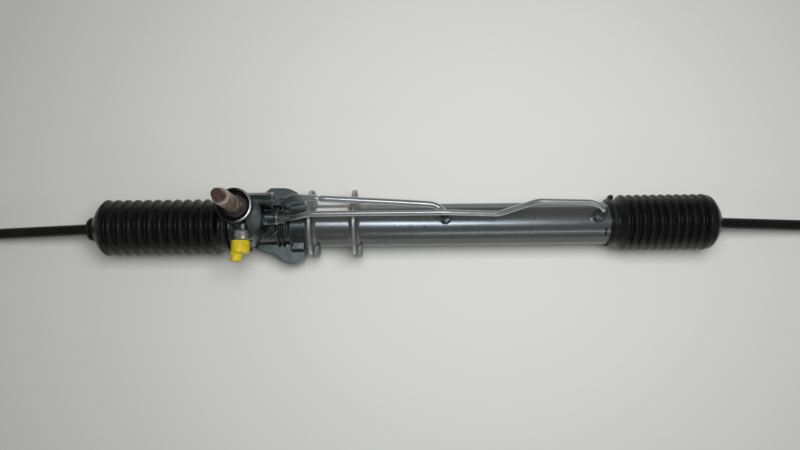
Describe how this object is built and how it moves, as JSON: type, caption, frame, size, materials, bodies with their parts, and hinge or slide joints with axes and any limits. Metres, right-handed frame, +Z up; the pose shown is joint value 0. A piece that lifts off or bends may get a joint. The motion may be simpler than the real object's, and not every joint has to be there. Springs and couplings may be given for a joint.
{
  "type": "power steering rack",
  "caption": "Hydraulic steering rack: pinion housing, plated cylinder tube with mounting flanges, turn lines, bellows boots and tie rods.",
  "frame": {"origin": "on the rack axis, in the middle of the tube seat between the two flanges", "axes": "+X along the rack, away from the pinion; +Z up along the input shaft; +Y away from the feed port"},
  "size_m": [1.1908, 0.0891, 0.164],
  "materials": {
    "cast_iron": "as cast, dark grey-green",
    "dark_steel": "black, semi-matte",
    "zinc_steel": "bright zinc plate",
    "line_steel": "plated, satin",
    "nut_steel": "plated, slightly dulled",
    "yellow_plastic": "bright yellow",
    "seal_rubber": "black",
    "spring_steel": "oiled",
    "bearing_steel": "ground",
    "yoke_plastic": "dark filled plastic",
    "boot_rubber": "black, satin",
    "clamp_steel": "dark plated",
    "ground_steel": "ground and hardened",
    "seat_nylon": "natural nylon",
    "carrier_steel": "turned, slightly dulled",
    "rod_steel": "black oxide",
    "rusted_steel": "reddish-brown surface rust"
  },
  "bodies": {
    "housing": {"pinion_housing": "cast_iron", "end_cover": "dark_steel", "cylinder_tube": "zinc_steel", "seat_flange_left": "zinc_steel", "seat_flange_right": "zinc_steel", "cylinder_port_1": "zinc_steel", "cylinder_port_2": "zinc_steel", "turn_line_1": "line_steel", "turn_line_2": "line_steel", "housing_union_nut_1": "nut_steel", "housing_union_nut_2": "nut_steel", "cylinder_union_nut_1": "nut_steel", "cylinder_union_nut_2": "nut_steel", "feed_port_plug": "yellow_plastic", "return_port_plug": "yellow_plastic", "input_shaft_seal": "seal_rubber", "seal_carrier": "carrier_steel", "upper_bearing": "bearing_steel", "lower_bearing": "bearing_steel", "support_yoke": "yoke_plastic", "yoke_spring": "spring_steel", "yoke_plug": "dark_steel", "yoke_locknut": "dark_steel", "rack_bush": "yoke_plastic", "inner_seal_carrier": "bearing_steel", "inner_rack_seal": "seal_rubber", "outer_rack_seal": "seal_rubber", "bush_retaining_ring": "spring_steel", "left_boot": "boot_rubber", "right_boot": "boot_rubber", "left_boot_clamp": "clamp_steel", "right_boot_clamp": "clamp_steel"},
    "rack": {"rack_bar": "ground_steel", "piston": "ground_steel", "piston_ring": "yoke_plastic", "left_ball_socket": "dark_steel", "right_ball_socket": "dark_steel", "left_lock_washer": "bearing_steel", "right_lock_washer": "bearing_steel"},
    "pinion": {"pinion": "ground_steel", "pinion_nut": "dark_steel", "valve_sleeve": "ground_steel", "sleeve_rings": "yoke_plastic"},
    "input_shaft": {"input_shaft": "rusted_steel", "torsion_bar": "spring_steel", "torsion_bar_pin": "spring_steel"},
    "left_seat": {"left_ball_seat": "seat_nylon"},
    "left_rod": {"left_tie_rod": "rod_steel", "left_jam_nut": "dark_steel", "left_boot_clip": "clamp_steel"},
    "right_seat": {"right_ball_seat": "seat_nylon"},
    "right_rod": {"right_tie_rod": "rod_steel", "right_jam_nut": "dark_steel", "right_boot_clip": "clamp_steel"}
  },
  "joints": [
    {"name": "rack_slide", "type": "slide", "parent": "housing", "child": "rack", "axis": [1, 0, 0], "range_m": [-0.053, 0.083], "deforming": ["left_boot", "right_boot"]},
    {"name": "pinion_turn", "type": "hinge", "parent": "housing", "child": "pinion", "pos_m": [-0.101, 0.015, 0], "axis": [0, 0, 1], "range_deg": [-423, 661]},
    {"name": "input_twist", "type": "hinge", "parent": "pinion", "child": "input_shaft", "pos_m": [-0.101, 0.015, 0], "axis": [0, 0, 1], "range_deg": [-4, 4], "stiffness_Nm_per_rad": 1},
    {"name": "left_droop", "type": "hinge", "parent": "rack", "child": "left_seat", "pos_m": [-0.241, 0, 0], "axis": [0, 1, 0], "range_deg": [-15.6, 28.4], "deforming": ["left_boot"]},
    {"name": "left_swing", "type": "hinge", "parent": "left_seat", "child": "left_rod", "pos_m": [-0.241, 0, 0], "axis": [-0.1115, 0, 0.9938], "range_deg": [-23.2, 20.8], "deforming": ["left_boot"]},
    {"name": "right_droop", "type": "hinge", "parent": "rack", "child": "right_seat", "pos_m": [0.402, 0, 0], "axis": [0, 1, 0], "range_deg": [-28.4, 15.6], "deforming": ["right_boot"]},
    {"name": "right_swing", "type": "hinge", "parent": "right_seat", "child": "right_rod", "pos_m": [0.402, 0, 0], "axis": [0.1115, 0, 0.9938], "range_deg": [-20.8, 23.2], "deforming": ["right_boot"]}
  ],
  "couplings": [
    {"joint": "pinion_turn", "follows": "rack_slide", "rad_per_m": 138.89}
  ]
}
